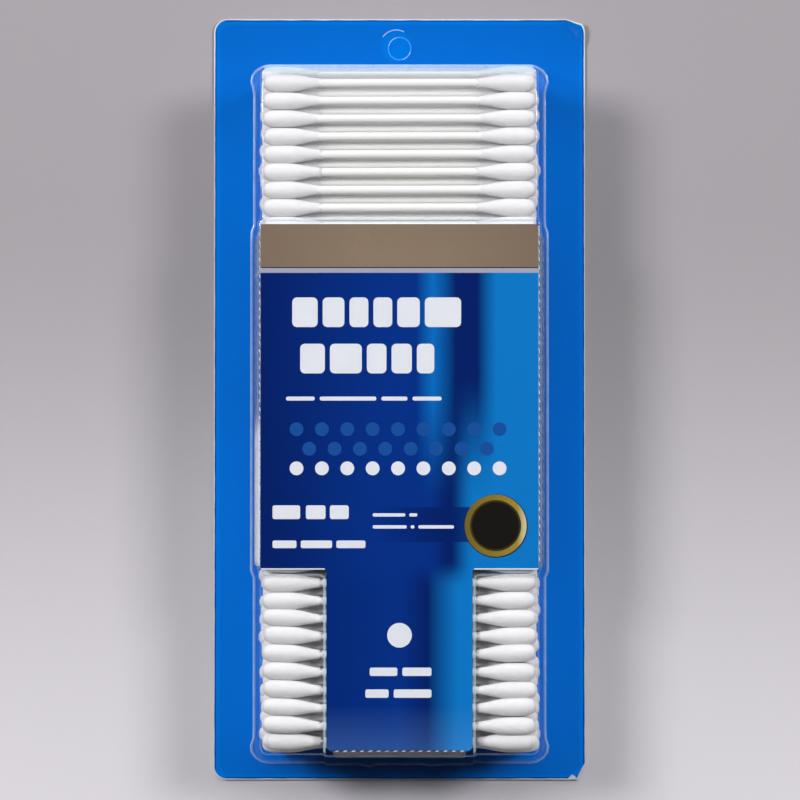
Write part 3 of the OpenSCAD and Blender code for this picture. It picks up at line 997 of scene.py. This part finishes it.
def cadTips(name, count):
    # the nose and the tail end of each tip in a layer, taken from the frame
    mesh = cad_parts[name].data
    flat = np.zeros(len(mesh.vertices) * 3)
    mesh.vertices.foreach_get("co", flat)
    at = flat.reshape(-1, 3) / mm
    firstY, lastY = at[:, 1].max() - cotton["radius"], at[:, 1].min() + cotton["radius"]
    row = np.rint((firstY - at[:, 1]) / ((firstY - lastY) / (count - 1))).astype(int)
    for i in range(count):
        for side in (-1, 1):
            own = at[(row == i) & (np.sign(at[:, 0]) == side)]
            z = (own[:, 2].min() + own[:, 2].max()) / 2
            ends = []
            out = own[:, 0] * side
            for x, reach in zip((out.max() * side, out.min() * side), cotton["reach"]):
                y = own[np.abs(own[:, 0] - x) < reach][:, 1]
                ends.append(Vector((x, (y.min() + y.max()) / 2, z)))
            yield side, *ends


def addTip(points, faces, start, end, axis, rng):
    # a lumpy body from rings, closed by a point at the nose and a flat foot at the tail
    rings, sides, foot = cotton["rings"], cotton["sides"], cotton["foot"]
    length = (end - start).length
    acrossY = Vector((-axis.y, axis.x, 0))
    phases = [rng.uniform(0, tau) for _ in range(6)]
    lump = cotton["lump"] * rng.uniform(0.5, 1.0)
    slim = rng.uniform(0.0, 0.05)
    turns = [tau * k / sides for k in range(sides)]
    highest = sum(high for high, _, _ in cotton["waves"])
    first = len(points)
    for r in range(rings):
        s = length * (r / (rings - 1)) ** cotton["crowding"]
        radius = tipRadius(s / length * cotton["length"])
        for turn in turns:
            wave = sum(high * sin(count * turn + phase + twist * s)
                       for (high, count, twist), phase in zip(cotton["waves"], phases)) / highest
            here = radius * (1 - slim - lump * (0.5 + 0.5 * wave) * smooth(0, 1.5, s + 0.4))
            place = start + axis * (s + 0.02) + acrossY * (here * cotton["squeeze"] * cos(turn))
            points.append(tuple(place + Vector((0, 0, here * sin(turn)))))
    tipPoint, inner, tailPoint = len(points), len(points) + 1, len(points) + 1 + sides
    points.append(tuple(start))
    points += [tuple(end + acrossY * (foot * cos(turn)) + Vector((0, 0, foot * sin(turn))))
               for turn in turns]
    points.append(tuple(end))
    last = first + (rings - 1) * sides
    for k in range(sides):
        n = (k + 1) % sides
        faces.append((tipPoint, first + k, first + n))
        for a in range(first, last, sides):
            faces.append((a + k, a + sides + k, a + sides + n, a + n))
        faces.append((last + k, inner + k, inner + n, last + n))
        faces.append((inner + k, tailPoint, inner + n))


def makeTips(layer, material, rng):
    name = f"cotton_tips_{layer}"
    points, faces = [], []
    for side, start, end in cadTips(name, cotton["rows"][1 - layer % 2]):
        axis = (end - start).normalized()
        # some noses reach further towards the film
        wall = film["tubHalf"] - film["thick"]
        wall += (film["tubTop"] - start.z - 2) * tan(radians(film["sideDraft"]))
        start.x += side * max(0.0, wall - cotton["film"] - abs(start.x)) * rng.uniform(0.0, 0.9) ** 1.5
        addTip(points, faces, start, end, axis, rng)
    piece = makePiece(f"cottonBuds{layer}", points, faces, [material])
    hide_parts(name)


plastic = stickMaterial()
wool = cottonMaterial()
for layer in range(1, 9):
    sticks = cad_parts[f"swab_sticks_{layer}"]
    sticks.data.materials.clear()
    sticks.data.materials.append(plastic)
    makeTips(layer, wool, random.Random(20 + layer))
print("swabs made")


# Floor, light and camera

studio = {
    "floor": (156, 153, 158), "paintedLitFloor": (214, 212, 218), "paintedLightFade": (60.0, -140.0),   # along Y; painted light, the floor is paler towards the lower side
    "floorHalf": 12.0, "floorDrop": 0.0002,   # in metres, as the places of lamps and camera are
    "lamps": {   # place, size, power and colour
        "keyLight": ((-1.05, 0.42, 1.2), 0.42, 18.4, (1.0, 0.985, 0.975)),
        "fillLight": ((1.05, 0.42, 1.2), 0.42, 14.4, (1.0, 0.985, 0.98)),
        "topLight": ((0.1, 1.5, 0.9), 0.9, 4.5, (1.0, 1.0, 1.0)),
    },
    "air": (0.0, 0.85), "airFrom": (-0.1, 0.7),   # light from the lower side and from the upper side
    "airShade": (0.85, 0.82, 0.82, 1.0), "gleam": 0.02,   # gleaming pieces see almost no air
    "distance": 1.8, "tilt": 2.2, "aim": (0.14, -0.42, 0.6), "lens": 288.0,
}


def floorMaterial():
    material = newMaterial("paleFloor")
    speckle = noise(material, 500.0, 3.0)
    wide = noise(material, 3.0, 2.0)
    # painted light: the floor is paler towards the lower side
    near = rise(material, split(material)[1], *studio["paintedLightFade"])
    shade = mixColour(material, near, paint(*studio["floor"]), paint(*studio["paintedLitFloor"]))
    shade = mixColour(material, times(material, wide, 0.1), shade, darker(studio["floor"], 0.6))
    return finishSurface(material, shade, between(material, speckle, 0.7, 0.85), 0.2,
                         bump(material, speckle, 0.1, 0.3))


def makeFloor():
    half, drop = studio["floorHalf"], studio["floorDrop"]
    mesh = bpy.data.meshes.new("floor")
    corners = [(x * half, y * half, -drop) for x, y in ((-1, -1), (1, -1), (1, 1), (-1, 1))]
    mesh.from_pydata(corners, [], [(0, 1, 2, 3)])
    mesh.materials.append(floorMaterial())
    floor = newObject("floor", mesh)


def makeLight(name, place, size, power, shade):
    lamp = bpy.data.lights.new(name, "AREA")
    lamp.shape = "SQUARE"
    lamp.size = size
    lamp.energy = power
    lamp.color = shade
    holder = newObject(name, lamp)
    holder.location = place
    holder.rotation_euler = (-Vector(place)).to_track_quat("-Z", "Y").to_euler()


def makeAir():
    # soft light that grows towards the upper side of the picture
    world = withNodes(bpy.data.worlds.new("studioAir"))
    names = ("From Min", "From Max", "To Min", "To Max")
    values = dict(zip(names, studio["airFrom"] + studio["air"]))
    power = add(world, "MapRange", {"Value": split(world, "Generated")[1], **values})
    pale, dark = (add(world, "Background", {0: studio["airShade"], 1: strength})
                  for strength in (power, studio["gleam"]))
    glossy = add(world, "LightPath", out="Is Glossy Ray")
    mixed = add(world, "MixShader", {0: glossy, 1: pale, 2: dark})
    add(world, "OutputWorld", {0: mixed})
    bpy.context.scene.world = world


def makeCamera():
    tilt = radians(studio["tilt"])
    lens = bpy.data.cameras.new("camera")
    lens.lens = studio["lens"]
    lens.sensor_width = 36
    lens.clip_start = 0.05
    camera = newObject("camera", lens)
    towards = Vector((0, -sin(tilt), cos(tilt)))
    camera.location = Vector(studio["aim"]) * mm + towards * studio["distance"]
    camera.rotation_euler = (tilt, 0, 0)
    bpy.context.scene.camera = camera
    bpy.context.scene.view_settings.view_transform = "Standard"


makeFloor()
for name, lamp in studio["lamps"].items():
    makeLight(name, *lamp)
makeAir()
makeCamera()
print("studio made")
